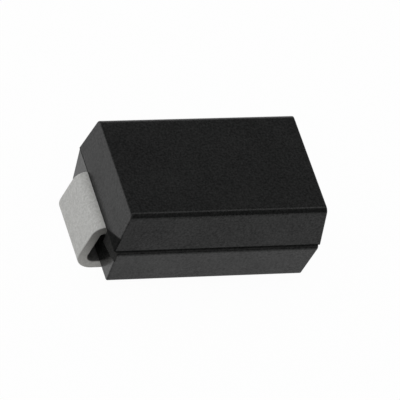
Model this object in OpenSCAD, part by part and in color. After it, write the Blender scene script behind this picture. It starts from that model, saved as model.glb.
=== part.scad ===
// Surface mount rectifier diode in a two-lead moulded package, in millimetres.
// Origin on the board plane under the middle of the part, +X along the length, +Z up.
// The cathode lead leaves the -X end and the anode lead leaves the +X end.

/* [Moulded body] */
// Length at the parting plane
body_l = 4.30; // [4.00:0.05:4.60]
// Width over the side ledges
body_w = 2.71; // [2.50:0.01:2.80]
// Height of the upper half above the parting plane
upper_h = 0.95; // [0.90:0.01:1.10]
// Depth of the lower half below the parting plane
lower_h = 0.94; // [0.85:0.01:1.05]
// Draft of the end walls of the upper half, in degrees
upper_draft = 7; // [4:0.5:9]
// Draft of the end walls of the lower half, in degrees
lower_draft = 4.5; // [3:0.5:6]
// Draft of the side walls, in degrees
side_draft = 5.5; // [4:0.5:8]
// Radius on the long edges of the top face
top_r = 0.12; // [0.06:0.01:0.16]
// Radius on the long edges of the underside
base_r = 0.07; // [0.04:0.01:0.12]
// How far the lower half stands out beyond the upper half along the sides
side_ledge = 0.05; // [0.02:0.01:0.07]
// Radius on the upper edge of the side ledge
ledge_r = 0.08; // [0.08:0.01:0.12]
// How far the lower half is set back under the upper half at the ends
end_step = 0.04; // [0.02:0.01:0.06]

/* [Lead strip] */
// Width of the strip where it leaves the body
lead_w = 1.41; // [1.25:0.01:1.60]
// Thickness of the strip
lead_t = 0.20; // [0.16:0.01:0.24]
// Straight run between the end wall and the first bend
exit_run = 0.01; // [0.01:0.01:0.08]
// Inside radius of the shoulder bend
shoulder_r = 0.07; // [0.04:0.01:0.12]
// Inside radius of the heel bend
heel_r = 0.17; // [0.08:0.01:0.22]
// Lean of the leg outward from upright, in degrees
leg_splay = 9; // [4:1:15]
// Length of the foot from the outermost point of the lead to its tip
foot_l = 1.15; // [0.80:0.05:1.50]
// Clear height between the foot and the underside of the body
foot_gap = 0.08; // [0.04:0.01:0.15]

/* [Inside ends of the leads] */
// Level run of full width held in the moulding
anchor_l = 0.50; // [0.42:0.01:0.55]
// Radius of the half-round notches that lock the strip in the moulding
notch_r = 0.14; // [0.10:0.01:0.18]
// Level run past the anchor, before the strip steps up or down
neck_l = 0.05; // [0.02:0.01:0.10]
// Slope of the step in the strip, in degrees
step_slope = 40; // [35:1:48]
// Inside radius of the bends in the step
step_r = 0.06; // [0.04:0.01:0.08]
// How far the cathode pad lies below the level of the exit
pad_drop = 0.15; // [0.14:0.01:0.20]
// Margin of the cathode pad round the chip
pad_margin = 0.07; // [0.06:0.01:0.14]
// Width of the anode clip over the chip
clip_w = 0.90; // [0.80:0.02:1.10]
// Length of the clip past the middle of the chip
clip_past = 0.45; // [0.42:0.01:0.55]
// Diameter of the coined boss under the clip
boss_d = 0.60; // [0.50:0.02:0.70]
// Height of the coined boss
boss_h = 0.08; // [0.05:0.01:0.10]

/* [Chip and solder] */
// Side of the square chip
chip_w = 1.20; // [1.10:0.02:1.30]
// Thickness of the chip
chip_t = 0.26; // [0.22:0.01:0.30]
// Side of the mesa at the top of the chip
mesa_w = 0.86; // [0.82:0.02:0.92]
// Depth of the etched moat round the mesa
moat_d = 0.11; // [0.08:0.01:0.14]
// Width of the sawn ledge round the foot of the mesa
ledge_w = 0.04; // [0.03:0.01:0.06]
// Thickness of each solder joint
solder_t = 0.04; // [0.03:0.005:0.06]
// How far the solder flares out beyond what it joins
solder_flare = 0.04; // [0.02:0.01:0.05]

/* [Hidden] */

// Segments of a full turn on every round face, and of the round on a long edge
round_fn = 32;
edge_steps = round_fn / 4;

// Turn of the strip from one flat of a bend to the next, in degrees
bend_step = 6;

// Heights above the board plane
base_z = lead_t + foot_gap;
parting_z = base_z + lower_h;
top_z = parting_z + upper_h;

// Upper half: width at the parting plane, and the middle of the round on its long edge
upper_w = body_w - 2 * side_ledge;
top_core_z = top_z - top_r;
top_lean = (top_core_z - parting_z) * sin(side_draft);
top_core_y = upper_w / 2 - (top_r + top_lean) / cos(side_draft);

// Lower half: length under the upper half, and the middles of the rounds on its ledge and base
lower_l = body_l - 2 * end_step;
ledge_core_z = parting_z - sqrt(side_ledge * (2 * ledge_r - side_ledge));
ledge_core_y = body_w / 2 - ledge_r;
base_core_z = base_z + base_r;
base_lean = (ledge_core_z - base_core_z) * sin(side_draft);
base_core_y = ledge_core_y - (base_r - ledge_r + base_lean) / cos(side_draft);

// The round on the ledge ends inside the upper half
ledge_top_z = ledge_core_z + ledge_r;

// Middle of the strip where it leaves the body, its upper face level with the parting plane
strip_z = parting_z - lead_t / 2;

// Turns of the formed tail, and bend radii at mid thickness
shoulder_turn = 90 - leg_splay;
heel_turn = 90 + leg_splay;
shoulder_mid = shoulder_r + lead_t / 2;
heel_mid = heel_r + lead_t / 2;
step_mid = step_r + lead_t / 2;

// Length of leg that sets the foot down on the board plane
tail_fall = strip_z - lead_t / 2;
bend_fall = shoulder_mid * (1 - cos(shoulder_turn)) + heel_mid * (1 + cos(shoulder_turn));
leg_l = (tail_fall - bend_fall) / sin(shoulder_turn);
foot_run = foot_l - heel_r - lead_t;

// Levels of the stack from the cathode pad up to the anode clip
solder_z = strip_z - pad_drop + lead_t / 2;
chip_z = solder_z + solder_t;
moat_z = chip_z + chip_t - moat_d;
chip_top_z = chip_z + chip_t;
boss_z = chip_top_z + solder_t;
clip_rise = boss_z + boss_h + lead_t / 2 - strip_z;

// Sloping run inside a step of a given height, and the level reach of the whole step
function step_run(height) = (height - 2 * step_mid * (1 - cos(step_slope))) / sin(step_slope);
function step_reach(height) = 2 * step_mid * sin(step_slope) + step_run(height) * cos(step_slope);

// Neck of the strip, where the anchor ends and the inside end starts
neck_x = lower_l / 2 - anchor_l;

// Flat inside ends: the pad reaches past the chip, the clip past the middle of the chip
pad_w = chip_w + 2 * pad_margin;
pad_l = neck_x - neck_l - step_reach(pad_drop) + pad_w / 2;
clip_l = neck_x - neck_l - step_reach(clip_rise) + clip_past;

// Recess that the coining leaves above the boss
dimple_d = boss_d - lead_t;

// Paths of the strip from the neck: each leg's length, then the inside radius and turn down of its bend
tail_path = [
  [anchor_l + exit_run, shoulder_r, shoulder_turn],
  [leg_l, heel_r, heel_turn],
  [foot_run]
];
pad_path = [
  [neck_l, step_r, step_slope],
  [step_run(pad_drop), step_r, -step_slope],
  [pad_l]
];
clip_path = [
  [neck_l, step_r, -step_slope],
  [step_run(clip_rise), step_r, step_slope],
  [clip_l]
];

// Unit steps along the strip and up through its thickness, once it has turned down by an angle
function along(angle) = [cos(angle), -sin(angle)];
function upward(angle) = [sin(angle), cos(angle)];

// Points of one face of the strip, a given height off its middle, from one leg of a path to its end
function face_points(path, off, leg = 0, start = [0, 0], angle = 0) =
  let (
    first = start + off * upward(angle),
    end = start + path[leg][0] * along(angle)
  )
  leg == len(path) - 1 ? [first, end + off * upward(angle)] :
  let (
    turn = path[leg][2],
    mid_r = sign(turn) * (path[leg][1] + lead_t / 2),
    centre = end - mid_r * upward(angle),
    steps = ceil(abs(turn) / bend_step),
    bend = [for (i = [0:steps - 1]) centre + (mid_r + off) * upward(angle + turn * i / steps)],
    next = centre + mid_r * upward(angle + turn)
  )
  concat([first], bend, face_points(path, off, leg + 1, next, angle + turn));

// The strip laid along a path that starts at the origin and heads for +X
module strip(path, width) {
  upper = face_points(path, lead_t / 2);
  lower = face_points(path, -lead_t / 2);
  back = [for (i = [len(lower) - 1:-1:0]) lower[i]];
  rotate([90, 0, 0])
    linear_extrude(height = width, center = true)
      polygon(concat(upper, back));
}

// Half-round notches in both edges of the strip, inside the moulding
module lock_notches() {
  for (side = [-1, 1])
    translate([anchor_l / 2, side * lead_w / 2, 0])
      cylinder(h = 2 * lead_t, r = notch_r, center = true, $fn = round_fn);
}

// One lead at the +X end: the anchor and formed tail, and the inside end on a given path
module lead(inside_path, inside_w) {
  translate([neck_x, 0, strip_z])
    difference() {
      union() {
        strip(tail_path, lead_w);
        mirror([1, 0, 0])
          strip(inside_path, inside_w);
      }
      lock_notches();
    }
}

// A square pad that tapers evenly from its foot to its top
module taper(foot_w, top_w, height) {
  profile = [
    [-foot_w / 2, 0],
    [foot_w / 2, 0],
    [top_w / 2, height],
    [-top_w / 2, height]
  ];
  intersection_for(turn = [0, 90])
    rotate([90, 0, turn])
      linear_extrude(height = foot_w, center = true)
        polygon(profile);
}

// Points of a round edge across the body, from one angle to another
function round_points(centre, r, start, end) = [
  for (i = [0:edge_steps])
    let (angle = start + (end - start) * i / edge_steps)
      centre + r * [cos(angle), sin(angle)]
];

// Right-hand outlines of the two halves across the body, from below upward
upper_side = concat(
  [[upper_w / 2, parting_z]],
  round_points([top_core_y, top_core_z], top_r, side_draft, 90)
);
lower_side = concat(
  round_points([base_core_y, base_core_z], base_r, -90, -side_draft),
  round_points([ledge_core_y, ledge_core_z], ledge_r, -side_draft, 90)
);

// A whole outline from its right-hand side
function both_sides(side) = concat(
  side,
  [for (i = [len(side) - 1:-1:0]) [-side[i].x, side[i].y]]
);

// One half of the moulding: its outline across the body, carried along it between drafted end walls
module body_half(side, length, foot_z, end_z, draft) {
  end_l = length - 2 * abs(end_z - foot_z) * tan(draft);
  walls = [
    [-length / 2, foot_z],
    [length / 2, foot_z],
    [end_l / 2, end_z],
    [-end_l / 2, end_z]
  ];
  intersection() {
    rotate([90, 0, 90])
      linear_extrude(height = 2 * length, center = true)
        polygon(both_sides(side));
    rotate([90, 0, 0])
      linear_extrude(height = 2 * body_w, center = true)
        polygon(walls);
  }
}

// The moulding, closed on every face of what it holds
module moulded_body() {
  color([0.13, 0.13, 0.14])
    difference() {
      union() {
        body_half(upper_side, body_l, parting_z, top_z, upper_draft);
        body_half(lower_side, lower_l, ledge_top_z, base_z, lower_draft);
      }
      cathode_lead();
      anode_lead();
      diode_chip();
      passivation_glass();
      cathode_solder();
      anode_solder();
    }
}

// Plated strip whose inside end is the pad under the chip
module cathode_lead() {
  color([0.74, 0.74, 0.72])
    rotate([0, 0, 180])
      lead(pad_path, pad_w);
}

// Plated strip whose inside end steps up to a clip with a coined boss on the chip
module anode_lead() {
  color([0.74, 0.74, 0.72])
    difference() {
      union() {
        lead(clip_path, clip_w);
        translate([0, 0, boss_z])
          cylinder(h = boss_h + lead_t / 2, d = boss_d, $fn = round_fn);
      }
      translate([0, 0, boss_z + lead_t])
        cylinder(h = lead_t, d = dimple_d, $fn = round_fn);
    }
}

// Square silicon chip with a mesa standing inside its etched moat
module diode_chip() {
  color([0.36, 0.37, 0.42]) {
    translate([-chip_w / 2, -chip_w / 2, chip_z])
      cube([chip_w, chip_w, chip_t - moat_d]);
    mesa();
  }
}

// The sloping mesa at the top of the chip
module mesa() {
  translate([0, 0, moat_z])
    taper(chip_w - 2 * ledge_w, mesa_w, moat_d);
}

// Glass fused into the moat, sealing the junction round the mesa
module passivation_glass() {
  color([0.62, 0.70, 0.66])
    difference() {
      translate([-chip_w / 2, -chip_w / 2, moat_z])
        cube([chip_w, chip_w, moat_d]);
      mesa();
    }
}

// Solder between the cathode pad and the underside of the chip
module cathode_solder() {
  color([0.55, 0.55, 0.56])
    translate([0, 0, solder_z])
      taper(chip_w + 2 * solder_flare, chip_w, solder_t);
}

// Solder between the mesa and the boss of the anode clip
module anode_solder() {
  color([0.55, 0.55, 0.56])
    translate([0, 0, chip_top_z])
      cylinder(h = solder_t, d1 = boss_d + 2 * solder_flare, d2 = boss_d, $fn = round_fn);
}

moulded_body();
cathode_lead();
anode_lead();
diode_chip();
passivation_glass();
cathode_solder();
anode_solder();
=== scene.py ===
import math

import bmesh
import bpy
from mathutils import Matrix, Vector


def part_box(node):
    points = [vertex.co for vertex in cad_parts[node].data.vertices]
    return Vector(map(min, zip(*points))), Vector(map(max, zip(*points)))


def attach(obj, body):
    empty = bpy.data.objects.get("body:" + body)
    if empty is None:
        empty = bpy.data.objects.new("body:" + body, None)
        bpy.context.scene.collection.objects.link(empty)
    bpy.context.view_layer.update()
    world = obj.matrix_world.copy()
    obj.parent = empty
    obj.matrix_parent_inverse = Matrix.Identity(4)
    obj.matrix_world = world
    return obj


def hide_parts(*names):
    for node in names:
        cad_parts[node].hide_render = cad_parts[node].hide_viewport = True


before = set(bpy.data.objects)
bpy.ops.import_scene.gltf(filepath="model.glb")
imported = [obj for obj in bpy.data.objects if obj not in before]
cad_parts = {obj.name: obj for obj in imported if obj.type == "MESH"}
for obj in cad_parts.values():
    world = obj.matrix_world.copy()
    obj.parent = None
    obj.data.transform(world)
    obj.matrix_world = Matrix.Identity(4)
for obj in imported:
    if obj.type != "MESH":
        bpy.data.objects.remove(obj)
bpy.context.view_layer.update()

MM = 0.001

# Moulded body: drafts of its walls, rounds on its long edges, ledge along its sides and step at its ends
UPPER_END_DRAFT = math.radians(7)
LOWER_END_DRAFT = math.radians(4.5)
SIDE_DRAFT = math.radians(5.5)
TOP_R = 0.12 * MM
BASE_R = 0.07 * MM
LEDGE = 0.05 * MM
LEDGE_R = 0.08 * MM
END_STEP = 0.04 * MM

# Fine round on the edges of the end walls, nearly crisp along the parting plane
END_R = 0.025 * MM
PARTING_R = 0.004 * MM

# Steps round an edge, and the flat row beside it that keeps its shading off the walls
ROUND_STEPS = 10
END_STEPS = 6
HOLD = 0.02 * MM

# Edges that turn by more than this stay crisp in the shading
CREASE = math.radians(35)

# Lead strip outside the body
STRIP_T = 0.20 * MM
STRIP_EDGE_R = 0.018 * MM
EXIT_RUN = 0.009 * MM
SHOULDER_R = 0.07 * MM
HEEL_R = 0.17 * MM
LEG_SPLAY = math.radians(9)
FOOT_L = 1.15 * MM

# Lead strip inside the body
ANCHOR_L = 0.50 * MM
NECK_L = 0.05 * MM
NOTCH_R = 0.14 * MM
STEP_SLOPE = math.radians(40)
STEP_R = 0.06 * MM
CLIP_W = 0.90 * MM
BOSS_D = 0.60 * MM
BOSS_H = 0.08 * MM

# Mesh of the strip: rows along it, columns across it, and steps round its edges and bends
RING_STEP = 0.012 * MM
COLUMNS = 24
STRIP_EDGE_STEPS = 3
BEND_STEPS = 24

# Spans of values: nearly all of a noise, nearly all tones of the crystals, and the whole
NOISE_SPAN = (0.3, 0.7)
TONE_SPAN = (0.2, 0.8)
FULL_SPAN = (0.0, 1.0)

# Moulding compound: its colours, as pairs from dark to light, its fine skin and its large clouds
EPOXY = ((0.0037, 0.0040, 0.0039), (0.0112, 0.0116, 0.0114))
# Painted light: a paler colour on the dull scar and flash below the parting plane
EPOXY_PAINTED_LIGHT = ((0.016, 0.016, 0.016), (0.034, 0.034, 0.033))
EPOXY_ROUGHNESS = (0.15, 0.23)
EPOXY_GLOSS = (0.26, 0.74)
EPOXY_IOR = 1.31
SKIN_GRAIN = 0.04 * MM
SKIN_RELIEF = 0.002 * MM
CLOUD_GRAIN = 0.7 * MM
CLOUD_DETAIL = 5.0
CLOUD_SHARE = 0.2

# Scar of the mould's gate on the end wall beside the cathode lead: slope of its upper edge, depth and
# slope of its lower edge, blur of its edges, its roughness and the share of gloss it keeps
SCAR_RISE = 0.6
SCAR_DEPTH = 0.45 * MM
SCAR_TILT = 0.28
SCAR_BLUR = 0.02 * MM
SCAR_ROUGHNESS = 0.95
SCAR_GLOSS = 0.4

# Height of the trimmed flash above and below the parting plane, dull like the scar
FLASH_H = 0.03 * MM

# Tin plate: on the faces; painted shade inside the bends; and on the sheared edge, painted light at the board
# fading to painted shade at the parting plane
TIN = ((0.46, 0.46, 0.445), (0.56, 0.56, 0.545))
TIN_PAINTED_SHADE = ((0.09, 0.09, 0.087), (0.13, 0.13, 0.126))
TIN_EDGE_PAINTED_LIGHT = ((0.41, 0.405, 0.385), (0.59, 0.58, 0.555))
TIN_EDGE_PAINTED_SHADE = ((0.11, 0.108, 0.100), (0.17, 0.167, 0.157))
TIN_ROUGHNESS = (0.55, 0.70)
TIN_METAL = 0.3
CRYSTAL = 0.03 * MM
FROST_GRAIN = 0.02 * MM
FROST_RELIEF = 0.002 * MM
FROST_STRENGTH = 0.5

# Silicon, with saw lines drawn out along the sides of the chip
SILICON = ((0.10, 0.105, 0.125), (0.17, 0.175, 0.20))
SILICON_ROUGHNESS = (0.18, 0.40)
SILICON_METAL = 0.7
SAW_GRAIN = 0.05 * MM
SAW_STRETCH = (0.05, 0.05, 4.0)
SAW_RELIEF = 0.002 * MM

# Junction glass, from the middle of a bubble outward
GLASS = ((0.45, 0.52, 0.48), (0.33, 0.42, 0.38))
GLASS_SPAN = (0.05, 0.3)
GLASS_ROUGHNESS = (0.25, 0.10)
GLASS_ROUGH_SPAN = (0.0, 0.4)
GLASS_IOR = 1.52
BUBBLE = 0.06 * MM

# Solder, with a pitted skin
SOLDER = ((0.30, 0.30, 0.31), (0.44, 0.44, 0.45))
SOLDER_ROUGHNESS = (0.35, 0.60)
SOLDER_METAL = 1.0
PIT_GRAIN = 0.04 * MM
PIT_DETAIL = 4.0
PIT_RELIEF = 0.004 * MM

# Camera of the photograph: its direction and roll, its distance from the middle of the parting plane,
# how far the part is moved in the picture, and its lens and sensor in millimetres
AZIMUTH = math.radians(-33.88)
ELEVATION = math.radians(45.82)
ROLL = math.radians(-23.89)
DISTANCE = 108.35 * MM
SIDEWAYS = -0.002 * MM
UPWARD = 0.077 * MM
LENS = 505
SENSOR = 36
NEAR_CLIP = DISTANCE / 100

# Paper floor: its colours, and the share of it that glows for the camera and in gloss
FLOOR_SIZE = 4.0
PAPER = ((0.90, 0.90, 0.90), (0.94, 0.94, 0.94))
FIBRE = 2 * MM
FLOOR_GLOW = 0.97
FLOOR_GLOSS = 0.80

# Softboxes: the key on the camera's side, and the rim beyond the part that draws the line on its top edge
KEY_PLACE = (-0.32, -0.25, 0.57)
KEY_SIZE = 1.0
KEY_POWER = 2.75
RIM_PLACE = (0.27, 0.07, 0.64)
RIM_SIZE = 0.3
RIM_POWER = 0.3

# Room: levels of its backdrop, ceiling and front, and the directions between which they change
BACKDROP_LEVEL = 1.0
CEILING_LEVEL = 0.34
FRONT_LEVEL = 0.18
BACKDROP_TOP = (0.45, 0.65)
FRONT_EDGE = (-0.4, 0.1)

# Places read from the CAD pieces
body_low, body_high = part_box("moulded_body")
cathode_low, cathode_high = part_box("cathode_lead")
anode_low, anode_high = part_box("anode_lead")
parting_z = cathode_high.z
upper_x = body_high.x
lower_x = upper_x - END_STEP
lower_y = body_high.y
upper_y = lower_y - LEDGE
strip_w = cathode_high.y - cathode_low.y
strip_z = parting_z - STRIP_T / 2
pad_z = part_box("cathode_solder")[0].z - STRIP_T / 2
clip_z = anode_high.z - STRIP_T / 2


def feed(tree, node, inputs):
    """Sets inputs of a node to a value, or wires them from a socket."""
    for name, value in inputs.items():
        if isinstance(value, bpy.types.NodeSocket):
            tree.links.new(value, node.inputs[name])
        else:
            node.inputs[name].default_value = value


def add(tree, kind, inputs=None, **settings):
    """A new node with its settings and inputs."""
    made = tree.nodes.new(kind)
    for name, value in settings.items():
        setattr(made, name, value)
    feed(tree, made, inputs or {})
    return made


def calculate(tree, operation, *values):
    """The result of an operation on numbers."""
    return add(tree, "ShaderNodeMath", dict(enumerate(values)), operation=operation).outputs[0]


def vector_sum(tree, first, second):
    """The sum of two vectors."""
    return add(tree, "ShaderNodeVectorMath", {0: first, 1: second}).outputs[0]


def split(tree, vector):
    """The X, Y and Z of a vector."""
    return add(tree, "ShaderNodeSeparateXYZ", {"Vector": vector}).outputs


def attribute(tree, name):
    """A number that the mesh carries."""
    return add(tree, "ShaderNodeAttribute", attribute_name=name).outputs["Fac"]


def spread(tree, value, levels, span=FULL_SPAN):
    """A value carried from a span over to the range between two levels."""
    return add(tree, "ShaderNodeMapRange", dict(enumerate((value, *span, *levels)))).outputs[0]


def tint(tree, value, colours, span=NOISE_SPAN):
    """A colour that goes from the first to the second of a pair as a value goes through a span."""
    made = add(tree, "ShaderNodeValToRGB", {"Fac": value})
    for element, place, colour in zip(made.color_ramp.elements, span, colours):
        element.position = place
        element.color = (*colour, 1.0)
    return made.outputs["Color"]


# The mix node has one pair of inputs for each kind of value, all of the same name, so they go by number
def mix(tree, share, under, over):
    """A number between two others by a share of 0 to 1."""
    return add(tree, "ShaderNodeMix", {0: share, 2: under, 3: over}).outputs[0]


def blend(tree, share, under, over):
    """A colour laid over another by a share of 0 to 1."""
    return add(tree, "ShaderNodeMix", {0: share, 6: under, 7: over}, data_type="RGBA").outputs[2]


def grain(tree, coords, size, detail=3.0):
    """Fine noise whose marks are about a given size."""
    noise = add(tree, "ShaderNodeTexNoise", {"Vector": coords, "Scale": 1 / size, "Detail": detail})
    return noise.outputs["Fac"]


def cells(tree, coords, size):
    """Cells of about a given size, such as crystals or bubbles."""
    return add(tree, "ShaderNodeTexVoronoi", {"Vector": coords, "Scale": 1 / size}).outputs


def relief(tree, height, depth, strength=1.0):
    """Bump of a given depth."""
    bump = add(tree, "ShaderNodeBump", {"Height": height, "Distance": depth, "Strength": strength})
    return bump.outputs["Normal"]


def new_finish(name):
    """An empty finish: its material, node tree, shader and object coordinates."""
    material = bpy.data.materials.new(name)
    material.use_nodes = True
    tree = material.node_tree
    shader = tree.nodes["Principled BSDF"]
    coords = add(tree, "ShaderNodeTexCoord").outputs["Object"]
    return material, tree, shader, coords


def scar_and_painted_light(tree, coords):
    """How torn a point is, by the broken gate or trimmed flash, and whether it is below the parting plane,
    where the finish paints light on the torn part.

    Both are shares of 0 to 1, blurred at their edges.
    """
    place = split(tree, coords)
    wall = attribute(tree, "gate_wall")
    past = calculate(tree, "SUBTRACT", -strip_w / 2, place["Y"])
    rise = calculate(tree, "SUBTRACT", place["Z"], parting_z)
    brow = calculate(tree, "MULTIPLY", past, SCAR_RISE)
    foot = calculate(tree, "MULTIPLY_ADD", past, SCAR_TILT, -SCAR_DEPTH)
    under_brow = calculate(tree, "SUBTRACT", brow, rise)
    over_foot = calculate(tree, "SUBTRACT", rise, foot)
    scar = spread(tree, past, (0.0, 1.0), (-SCAR_BLUR, 0.0))
    for edge in (
        spread(tree, under_brow, (0.0, 1.0), (-SCAR_BLUR, SCAR_BLUR)),
        spread(tree, over_foot, (0.0, 1.0), (0.0, SCAR_BLUR)),
        wall,
    ):
        scar = calculate(tree, "MULTIPLY", scar, edge)
    flash = spread(tree, calculate(tree, "ABSOLUTE", rise), (1.0, 0.0), (FLASH_H / 2, FLASH_H))
    below = spread(tree, rise, (1.0, 0.0), (-SCAR_BLUR, 0.0))
    return calculate(tree, "MAXIMUM", scar, flash), below


def moulding_compound():
    """Black epoxy: a fine spark-eroded skin, faint clouds of filler, dull where gate and flash broke off, and
    painted light on the dull part below the parting plane.
    """
    material, tree, shader, coords = new_finish("moulding_compound")
    clouds = grain(tree, coords, CLOUD_GRAIN, CLOUD_DETAIL)
    skin = grain(tree, coords, SKIN_GRAIN)
    mottle = mix(tree, CLOUD_SHARE, skin, clouds)
    torn, below = scar_and_painted_light(tree, coords)
    # Painted light: the dull scar and flash below the parting plane take a paler colour
    painted_light_below = calculate(tree, "MULTIPLY", torn, below)
    whole_roughness = spread(tree, skin, EPOXY_ROUGHNESS, NOISE_SPAN)
    whole_gloss = spread(tree, mottle, EPOXY_GLOSS, NOISE_SPAN)
    kept_gloss = spread(tree, torn, (1.0, SCAR_GLOSS))
    feed(tree, shader, {
        "Base Color": blend(tree, painted_light_below, tint(tree, mottle, EPOXY), tint(tree, skin, EPOXY_PAINTED_LIGHT)),
        "Roughness": mix(tree, torn, whole_roughness, SCAR_ROUGHNESS),
        "Specular IOR Level": calculate(tree, "MULTIPLY", whole_gloss, kept_gloss),
        "IOR": EPOXY_IOR,
        "Normal": relief(tree, skin, SKIN_RELIEF),
    })
    return material


def matte_tin():
    """Matte tin plate: crystal grain, painted shade inside the bends, and sheared edges with painted light
    toward the board and painted shade toward the body.
    """
    material, tree, shader, coords = new_finish("matte_tin")
    crystals = cells(tree, coords, CRYSTAL)["Color"]
    tone = add(tree, "ShaderNodeRGBToBW", {"Color": crystals}).outputs["Val"]
    frost = grain(tree, coords, FROST_GRAIN)
    # Painted light on the sheared edge at the board, fading to painted shade at the parting plane
    up_the_lead = spread(tree, split(tree, coords)["Z"], (0.0, 1.0), (0.0, parting_z))
    # Painted shade: the strip's inner face, inside the bends, takes a nearly black tin colour
    inside = tint(tree, tone, TIN_PAINTED_SHADE, TONE_SPAN)
    shear = blend(tree, up_the_lead, tint(tree, frost, TIN_EDGE_PAINTED_LIGHT), tint(tree, frost, TIN_EDGE_PAINTED_SHADE))
    colour = tint(tree, tone, TIN, TONE_SPAN)
    for part, over in (("inner_face", inside), ("sheared_edge", shear)):
        colour = blend(tree, attribute(tree, part), colour, over)
    feed(tree, shader, {
        "Base Color": colour,
        "Roughness": spread(tree, frost, TIN_ROUGHNESS, NOISE_SPAN),
        "Metallic": TIN_METAL,
        "Normal": relief(tree, frost, FROST_RELIEF, FROST_STRENGTH),
    })
    return material


def sawn_silicon():
    """Silicon with saw lines along its sides."""
    material, tree, shader, coords = new_finish("sawn_silicon")
    level = add(tree, "ShaderNodeMapping", {"Vector": coords, "Scale": SAW_STRETCH}).outputs["Vector"]
    lines = grain(tree, level, SAW_GRAIN)
    feed(tree, shader, {
        "Base Color": tint(tree, lines, SILICON),
        "Roughness": spread(tree, lines, SILICON_ROUGHNESS),
        "Metallic": SILICON_METAL,
        "Normal": relief(tree, lines, SAW_RELIEF),
    })
    return material


def junction_glass():
    """Pale fused glass with a few fine bubbles."""
    material, tree, shader, coords = new_finish("junction_glass")
    bubbles = cells(tree, coords, BUBBLE)["Distance"]
    feed(tree, shader, {
        "Base Color": tint(tree, bubbles, GLASS, GLASS_SPAN),
        "Roughness": spread(tree, bubbles, GLASS_ROUGHNESS, GLASS_ROUGH_SPAN),
        "IOR": GLASS_IOR,
    })
    return material


def soft_solder():
    """Dull solder with a frosted, slightly pitted skin."""
    material, tree, shader, coords = new_finish("soft_solder")
    pits = grain(tree, coords, PIT_GRAIN, PIT_DETAIL)
    feed(tree, shader, {
        "Base Color": tint(tree, pits, SOLDER),
        "Roughness": spread(tree, pits, SOLDER_ROUGHNESS, NOISE_SPAN),
        "Metallic": SOLDER_METAL,
        "Normal": relief(tree, pits, PIT_RELIEF),
    })
    return material


def floor_paper():
    """White paper that glows white to the eye and in gloss, and still takes a shadow."""
    material, tree, shader, coords = new_finish("floor_paper")
    fibres = grain(tree, coords, FIBRE)
    feed(tree, shader, {
        "Base Color": tint(tree, fibres, PAPER, FULL_SPAN),
        "Roughness": 1.0,
        "Specular IOR Level": 0.0,
    })
    ray = add(tree, "ShaderNodeLightPath").outputs
    gloss = calculate(tree, "MAXIMUM", ray["Is Glossy Ray"], ray["Is Transmission Ray"])
    in_gloss = calculate(tree, "MULTIPLY", gloss, FLOOR_GLOSS)
    seen = calculate(tree, "MULTIPLY", ray["Is Camera Ray"], FLOOR_GLOW)
    share = calculate(tree, "MAXIMUM", seen, in_gloss)
    glow = add(tree, "ShaderNodeEmission").outputs[0]
    paper = add(tree, "ShaderNodeMixShader", {0: share, 1: shader.outputs[0], 2: glow}).outputs[0]
    feed(tree, tree.nodes["Material Output"], {"Surface": paper})
    return material


def new_object(name, data):
    """An object in the scene for a mesh, a curve, a light or a camera, at the origin."""
    made = bpy.data.objects.new(name, data)
    bpy.context.scene.collection.objects.link(made)
    return made


def new_mesh(name, made):
    """A mesh of a shape that is done."""
    mesh = bpy.data.meshes.new(name)
    made.to_mesh(mesh)
    made.free()
    return mesh


def finished_mesh(piece):
    """The mesh of a piece with its modifiers worked in."""
    graph = bpy.context.evaluated_depsgraph_get()
    mesh = bpy.data.meshes.new_from_object(piece.evaluated_get(graph))
    mesh.name = piece.name
    return mesh


def smooth(mesh):
    """Smooth shading, with sharp edges left crisp."""
    mesh.polygons.foreach_set("use_smooth", [True] * len(mesh.polygons))
    mesh.set_sharp_from_angle(angle=CREASE)


def round_points(centre, radius, start, end):
    """Points of a round edge in the plane across the body, from one angle to another."""
    angles = [start + (end - start) * step / ROUND_STEPS for step in range(ROUND_STEPS + 1)]
    return [centre + radius * Vector((math.cos(angle), math.sin(angle))) for angle in angles]


def both_sides(side):
    """A closed profile: the points of its +Y side, and the same mirrored."""
    return side + [Vector((-y, z)) for y, z in side[::-1]]


def upper_profile():
    """The upper half across its width, anticlockwise: drafted walls and rounded long edges."""
    lean = Vector((-math.sin(SIDE_DRAFT), math.cos(SIDE_DRAFT)))
    foot = Vector((upper_y, parting_z))
    core_z = body_high.z - TOP_R
    core_y = upper_y - (TOP_R + (core_z - parting_z) * math.sin(SIDE_DRAFT)) / math.cos(SIDE_DRAFT)
    edge = round_points(Vector((core_y, core_z)), TOP_R, SIDE_DRAFT, math.pi / 2)
    wall = [foot, foot + lean * HOLD, edge[0] - lean * HOLD]
    return both_sides([*wall, *edge, edge[-1] - Vector((HOLD, 0.0))])


def lower_profile():
    """The lower half across its width, anticlockwise: a rounded ledge over drafted walls."""
    lean = Vector((math.sin(SIDE_DRAFT), math.cos(SIDE_DRAFT)))
    ledge = Vector((lower_y - LEDGE_R, parting_z - math.sqrt(LEDGE_R**2 - (LEDGE_R - LEDGE)**2)))
    core_z = body_low.z + BASE_R
    core_lean = (ledge.y - core_z) * math.sin(SIDE_DRAFT)
    core_y = ledge.x - (BASE_R - LEDGE_R + core_lean) / math.cos(SIDE_DRAFT)
    base = round_points(Vector((core_y, core_z)), BASE_R, -math.pi / 2, -SIDE_DRAFT)
    brow = round_points(ledge, LEDGE_R, -SIDE_DRAFT, math.pi / 2)
    wall = [base[-1] + lean * HOLD, brow[0] - lean * HOLD]
    return both_sides([base[0] - Vector((HOLD, 0.0)), *base, *wall, *brow])


def inset(profile, depth):
    """A closed profile drawn in by a depth, by less at its edge on the parting plane."""
    points = []
    for before, here, after in zip([profile[-1], *profile], profile, [*profile[1:], profile[0]]):
        into = (here - before).normalized()
        away = (after - here).normalized()
        normals = Vector((into.y, -into.x)), Vector((away.y, -away.x))
        drawn = here - (normals[0] + normals[1]) * depth / (1 + normals[0].dot(normals[1]))
        if here.y == parting_z:
            drawn.y = here.y + (drawn.y - here.y) * PARTING_R / END_R
        points.append(drawn)
    return points


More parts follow.
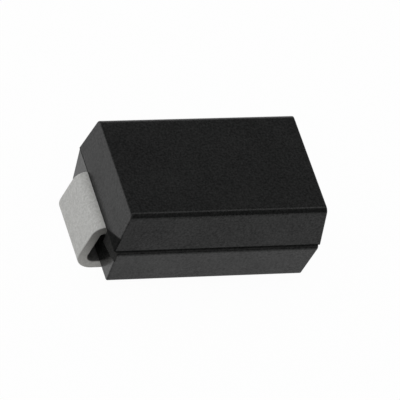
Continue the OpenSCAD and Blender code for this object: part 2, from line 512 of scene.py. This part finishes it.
def body_half(name, profile, end_x, draft):
    """A half of the moulding, its profile between drafted ends, with the wall at the cathode's end marked."""
    made = bmesh.new()
    wall = made.faces.layers.float.new("gate_wall")
    rings = [(END_R + HOLD, 0.0), (END_R, 0.0)]
    for step in range(1, END_STEPS + 1):
        lean = math.pi / 2 * step / END_STEPS
        rings.append((END_R * (1 - math.sin(lean)), END_R * (1 - math.cos(lean))))
    rings.append((0.0, END_R + HOLD))
    loops = []
    for way, order in ((-1, rings[::-1]), (1, rings)):
        for back, depth in order:
            outline = inset(profile, depth)
            reach = [end_x - abs(z - parting_z) * math.tan(draft) - back for y, z in outline]
            loops.append([made.verts.new((way * x, y, z)) for x, (y, z) in zip(reach, outline)])
    for row, (near, far) in enumerate(zip(loops, loops[1:])):
        for a, b in zip(range(-1, len(near) - 1), range(len(near))):
            made.faces.new((near[b], near[a], far[a], far[b]))[wall] = float(row < END_STEPS)
    made.faces.new(loops[0][::-1])[wall] = 1.0
    made.faces.new(loops[-1])
    bmesh.ops.recalc_face_normals(made, faces=made.faces)
    return new_object(name, new_mesh(name, made))


def moulding(compound):
    """The moulding: its upper half seated on the ledge of its lower half, and the two fused into one skin."""
    body = body_half("moulded_body_skin", lower_profile(), lower_x, LOWER_END_DRAFT)
    upper = body_half("upper_half", upper_profile(), upper_x, UPPER_END_DRAFT)
    fusing = body.modifiers.new("fusing", "BOOLEAN")
    fusing.operation = "UNION"
    fusing.solver = "EXACT"
    fusing.object = upper
    mesh = finished_mesh(body)
    body.modifiers.remove(fusing)
    bpy.data.objects.remove(upper)
    made = bmesh.new()
    made.from_mesh(mesh)
    many_sided = [face for face in made.faces if len(face.verts) > 4]
    bmesh.ops.triangulate(made, faces=many_sided, ngon_method="BEAUTY")
    made.to_mesh(mesh)
    made.free()
    mesh.materials.clear()
    mesh.materials.append(compound)
    smooth(mesh)
    body.data = mesh
    return body


def lead_corners(tip_x, inside_z):
    """Corners of a lead's middle line from its inside tip to its foot, as (x, z, bend radius)."""
    step_mid = STEP_R + STRIP_T / 2
    shoulder_mid = SHOULDER_R + STRIP_T / 2
    heel_mid = HEEL_R + STRIP_T / 2
    foot_z = STRIP_T / 2
    head_x = lower_x - ANCHOR_L - NECK_L - step_mid * math.tan(STEP_SLOPE / 2)
    foot_x = head_x - abs(strip_z - inside_z) / math.tan(STEP_SLOPE)
    shoulder_turn = math.pi / 2 - LEG_SPLAY
    shoulder_x = lower_x + EXIT_RUN + shoulder_mid * math.tan(shoulder_turn / 2)
    heel_x = shoulder_x + (strip_z - foot_z) * math.tan(LEG_SPLAY)
    return [
        (tip_x, inside_z, 0.0),
        (foot_x, inside_z, step_mid),
        (head_x, strip_z, step_mid),
        (shoulder_x, strip_z, shoulder_mid),
        (heel_x, foot_z, heel_mid),
        (anode_high.x - FOOT_L, foot_z, 0.0),
    ]


def bend_lengths(corners):
    """Where each bend starts and ends, measured along the middle line from the inside tip."""
    places = [Vector((x, z)) for x, z, radius in corners]
    lengths = [(0.0, 0.0)]
    cut_before = 0.0
    for before, here, after, (x, z, radius) in zip(places, places[1:], places[2:], corners[1:]):
        turn = (here - before).angle(after - here)
        cut = radius * math.tan(turn / 2)
        start = lengths[-1][1] + (here - before).length - cut_before - cut
        lengths.append((start, start + radius * turn))
        cut_before = cut
    end = lengths[-1][1] + (places[-1] - places[-2]).length - cut_before
    return [*lengths, (end, end)]


def strip_section(half_w):
    """Outline of the strip across its width, with rolled edges, as (y, z, how far round the edge)."""
    flat = half_w - STRIP_EDGE_R
    rise = STRIP_T / 2 - STRIP_EDGE_R
    top = [(flat - 2 * flat * step / COLUMNS, STRIP_T / 2, 0.0) for step in range(COLUMNS + 1)]
    edge = []
    for step in range(1, STRIP_EDGE_STEPS + 1):
        lean = math.pi / 2 * step / STRIP_EDGE_STEPS
        y = -flat - STRIP_EDGE_R * math.sin(lean)
        z = rise + STRIP_EDGE_R * math.cos(lean)
        edge.append((y, z, step / STRIP_EDGE_STEPS))
    half = top + edge + [(y, -z, round_edge) for y, z, round_edge in edge[::-1]]
    return half + [(-y, -z, round_edge) for y, z, round_edge in half]


def rows_between(start, end):
    """Even rows of the strip's mesh, from just past a start to an end."""
    count = math.ceil((end - start) / RING_STEP)
    return [start + (end - start) * row / count for row in range(1, count + 1)]


def blank_stations(bends, inside_w):
    """Half widths along the flat blank, as (distance from the inside tip, half width)."""
    (_, step_end), (_, foot_end) = bends[2], bends[-1]
    neck = step_end + NECK_L
    notch = neck + ANCHOR_L / 2
    stations = [(along, inside_w / 2) for along in (0.0, *rows_between(0.0, neck))]
    for along in rows_between(neck, foot_end):
        off = min(abs(along - notch), NOTCH_R)
        stations.append((along, strip_w / 2 - math.sqrt(NOTCH_R**2 - off**2)))
    return stations


def strip_blank(name, stations):
    """The stamped blank lying flat along +X, with its sheared edge and its inner face marked."""
    made = bmesh.new()
    sheared = made.verts.layers.float.new("sheared_edge")
    inner = made.verts.layers.float.new("inner_face")
    rings = []
    for along, half_w in stations:
        ring = []
        for y, z, round_edge in strip_section(half_w):
            vert = made.verts.new((along, y, z))
            vert[sheared] = round_edge
            vert[inner] = float(z < 0)
            ring.append(vert)
        rings.append(ring)
    for near, far in zip(rings, rings[1:]):
        for a, b in zip(range(-1, len(near) - 1), range(len(near))):
            made.faces.new((near[a], near[b], far[b], far[a]))
    made.faces.new(rings[0][::-1])
    made.faces.new(rings[-1])
    return new_mesh(name, made)


def forming_tree():
    """Geometry nodes that coin a boss in a flat strip and bend the strip along a path."""
    tree = bpy.data.node_groups.new("form_strip", "GeometryNodeTree")
    sockets = [
        ("Blank", "NodeSocketGeometry"),
        ("Path", "NodeSocketObject"),
        ("Bend Steps", "NodeSocketInt"),
        ("Boss Place", "NodeSocketFloat"),
        ("Boss Radius", "NodeSocketFloat"),
        ("Boss Height", "NodeSocketFloat"),
        ("Boss Slope", "NodeSocketFloat"),
        ("Plate", "NodeSocketMaterial"),
    ]
    for name, kind in sockets:
        tree.interface.new_socket(name, in_out="INPUT", socket_type=kind)
    tree.interface.new_socket("Lead", in_out="OUTPUT", socket_type="NodeSocketGeometry")
    given = add(tree, "NodeGroupInput").outputs
    path = add(tree, "GeometryNodeObjectInfo", {"Object": given["Path"]}).outputs["Geometry"]
    radius = add(tree, "GeometryNodeInputRadius").outputs["Radius"]
    bent = add(
        tree,
        "GeometryNodeFilletCurve",
        {"Curve": path, "Count": given["Bend Steps"], "Radius": radius},
        mode="POLY",
    ).outputs["Curve"]
    flat = split(tree, add(tree, "GeometryNodeInputPosition").outputs[0])
    boss_x = calculate(tree, "SUBTRACT", flat["X"], given["Boss Place"])
    boss_off = add(tree, "ShaderNodeCombineXYZ", {"X": boss_x, "Y": flat["Y"]}).outputs[0]
    off = add(tree, "ShaderNodeVectorMath", {0: boss_off}, operation="LENGTH").outputs["Value"]
    brim = calculate(tree, "ADD", given["Boss Radius"], given["Boss Slope"])
    dent = add(
        tree,
        "ShaderNodeMapRange",
        {0: off, 1: given["Boss Radius"], 2: brim, 3: given["Boss Height"], 4: 0.0},
        interpolation_type="SMOOTHSTEP",
    ).outputs[0]
    level = calculate(tree, "SUBTRACT", flat["Z"], dent)
    on_path = add(
        tree,
        "GeometryNodeSampleCurve",
        {"Curves": bent, "Length": flat["X"]},
        mode="LENGTH",
    ).outputs
    across = add(tree, "ShaderNodeCombineXYZ", {"Y": flat["Y"]}).outputs[0]
    up = add(
        tree,
        "ShaderNodeVectorMath",
        {0: on_path["Tangent"], 1: (0.0, 1.0, 0.0)},
        operation="CROSS_PRODUCT",
    ).outputs[0]
    raised = add(tree, "ShaderNodeVectorMath", {0: up, "Scale": level}, operation="SCALE").outputs[0]
    place = vector_sum(tree, vector_sum(tree, on_path["Position"], across), raised)
    formed = add(tree, "GeometryNodeSetPosition", {"Geometry": given["Blank"], "Position": place})
    real = add(tree, "GeometryNodeRealizeInstances", {"Geometry": formed.outputs[0]})
    plated = add(tree, "GeometryNodeSetMaterial", {"Geometry": real.outputs[0], "Material": given["Plate"]})
    add(tree, "NodeGroupOutput", {"Lead": plated.outputs[0]})
    return tree


def path_curve(name, corners):
    """The middle line of a lead as straight runs, with each corner's bend radius on its point."""
    curve = bpy.data.curves.new(name, "CURVE")
    curve.dimensions = "3D"
    spline = curve.splines.new("POLY")
    spline.points.add(len(corners) - 1)
    for point, (x, z, radius) in zip(spline.points, corners):
        point.co = (x, 0.0, z, 1.0)
        point.radius = radius
    return new_object(name, curve)


def formed_lead(name, corners, inside_w, boss_h, turn, tree, plate):
    """One lead: its blank stamped flat, formed along its path and turned to its end of the body."""
    path = path_curve(name + "_path", corners)
    stations = blank_stations(bend_lengths(corners), inside_w)
    lead = new_object(name, strip_blank(name + "_blank", stations))
    forming = lead.modifiers.new("forming", "NODES")
    forming.node_group = tree
    values = {
        "Path": path,
        "Bend Steps": BEND_STEPS,
        "Boss Place": -corners[0][0],
        "Boss Radius": BOSS_D / 2 - STRIP_T / 2,
        "Boss Height": boss_h,
        "Boss Slope": STRIP_T / 2,
        "Plate": plate,
    }
    for socket in tree.interface.items_tree:
        if socket.name in values:
            forming[socket.identifier] = values[socket.name]
    mesh = finished_mesh(lead)
    lead.modifiers.remove(forming)
    bpy.data.objects.remove(path)
    mesh.transform(Matrix.Rotation(turn, 4, "Z"))
    smooth(mesh)
    lead.data = mesh
    return lead


def room_light():
    """A white backdrop under a dimmer ceiling, dark on the camera's side, white where the camera sees it."""
    room = bpy.data.worlds.new("room")
    room.use_nodes = True
    tree = room.node_tree
    toward = split(tree, add(tree, "ShaderNodeTexCoord").outputs["Generated"])
    level = spread(tree, toward["Z"], (BACKDROP_LEVEL, CEILING_LEVEL), BACKDROP_TOP)
    behind = spread(tree, toward["Y"], (0.0, 1.0), FRONT_EDGE)
    lit = calculate(tree, "MAXIMUM", calculate(tree, "MULTIPLY", level, behind), FRONT_LEVEL)
    seen = add(tree, "ShaderNodeLightPath").outputs["Is Camera Ray"]
    feed(tree, tree.nodes["Background"], {
        "Color": (1.0, 1.0, 1.0, 1.0),
        "Strength": calculate(tree, "MAXIMUM", lit, seen),
    })
    bpy.context.scene.world = room


def softbox(name, place, size, power):
    """A square soft light that faces the part."""
    lamp = bpy.data.lights.new(name, "AREA")
    lamp.size = size
    lamp.energy = power
    light = new_object(name, lamp)
    light.location = place
    light.rotation_euler = Vector(place).to_track_quat("Z", "Y").to_euler()


def studio(paper):
    """A paper floor, a softbox on the camera's side, a smaller one beyond the part, and the room."""
    made = bmesh.new()
    bmesh.ops.create_grid(made, x_segments=1, y_segments=1, size=FLOOR_SIZE / 2)
    mesh = new_mesh("floor", made)
    mesh.materials.append(paper)
    new_object("floor", mesh)
    softbox("key", KEY_PLACE, KEY_SIZE, KEY_POWER)
    softbox("rim", RIM_PLACE, RIM_SIZE, RIM_POWER)
    room_light()
    bpy.context.scene.view_settings.view_transform = "Standard"


def photo_camera():
    """The camera where the photograph was taken from, rolled as the photograph is."""
    back = Vector((
        math.sin(AZIMUTH) * math.cos(ELEVATION),
        -math.cos(AZIMUTH) * math.cos(ELEVATION),
        math.sin(ELEVATION),
    ))
    level = Vector((math.cos(AZIMUTH), math.sin(AZIMUTH), 0.0))
    upright = back.cross(level)
    right = level * math.cos(ROLL) - upright * math.sin(ROLL)
    up = level * math.sin(ROLL) + upright * math.cos(ROLL)
    place = Vector((0.0, 0.0, parting_z)) - right * SIDEWAYS - up * UPWARD + back * DISTANCE
    lens = bpy.data.cameras.new("photo_camera")
    lens.sensor_width = SENSOR
    lens.lens = LENS
    lens.clip_start = NEAR_CLIP
    lens.clip_end = FLOOR_SIZE
    camera = new_object("photo_camera", lens)
    axes = Matrix((right, up, back)).transposed().to_4x4()
    camera.matrix_world = Matrix.Translation(place) @ axes
    bpy.context.scene.camera = camera


def dress(piece, node):
    """A piece rides on the part and stands for its CAD node."""
    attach(piece, "root")
    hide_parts(node)


tin = matte_tin()
solder = soft_solder()
forming = forming_tree()
body = moulding(moulding_compound())
cathode = formed_lead(
    "cathode_strip", lead_corners(-cathode_high.x, pad_z), 2 * cathode_high.x, 0.0, math.pi, forming, tin
)
anode = formed_lead("anode_strip", lead_corners(anode_low.x, clip_z), CLIP_W, BOSS_H, 0.0, forming, tin)
dress(body, "moulded_body")
dress(cathode, "cathode_lead")
dress(anode, "anode_lead")
inside = {
    "diode_chip": sawn_silicon(),
    "passivation_glass": junction_glass(),
    "cathode_solder": solder,
    "anode_solder": solder,
}
for name, finish in inside.items():
    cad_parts[name].material_slots[0].material = finish
studio(floor_paper())
photo_camera()
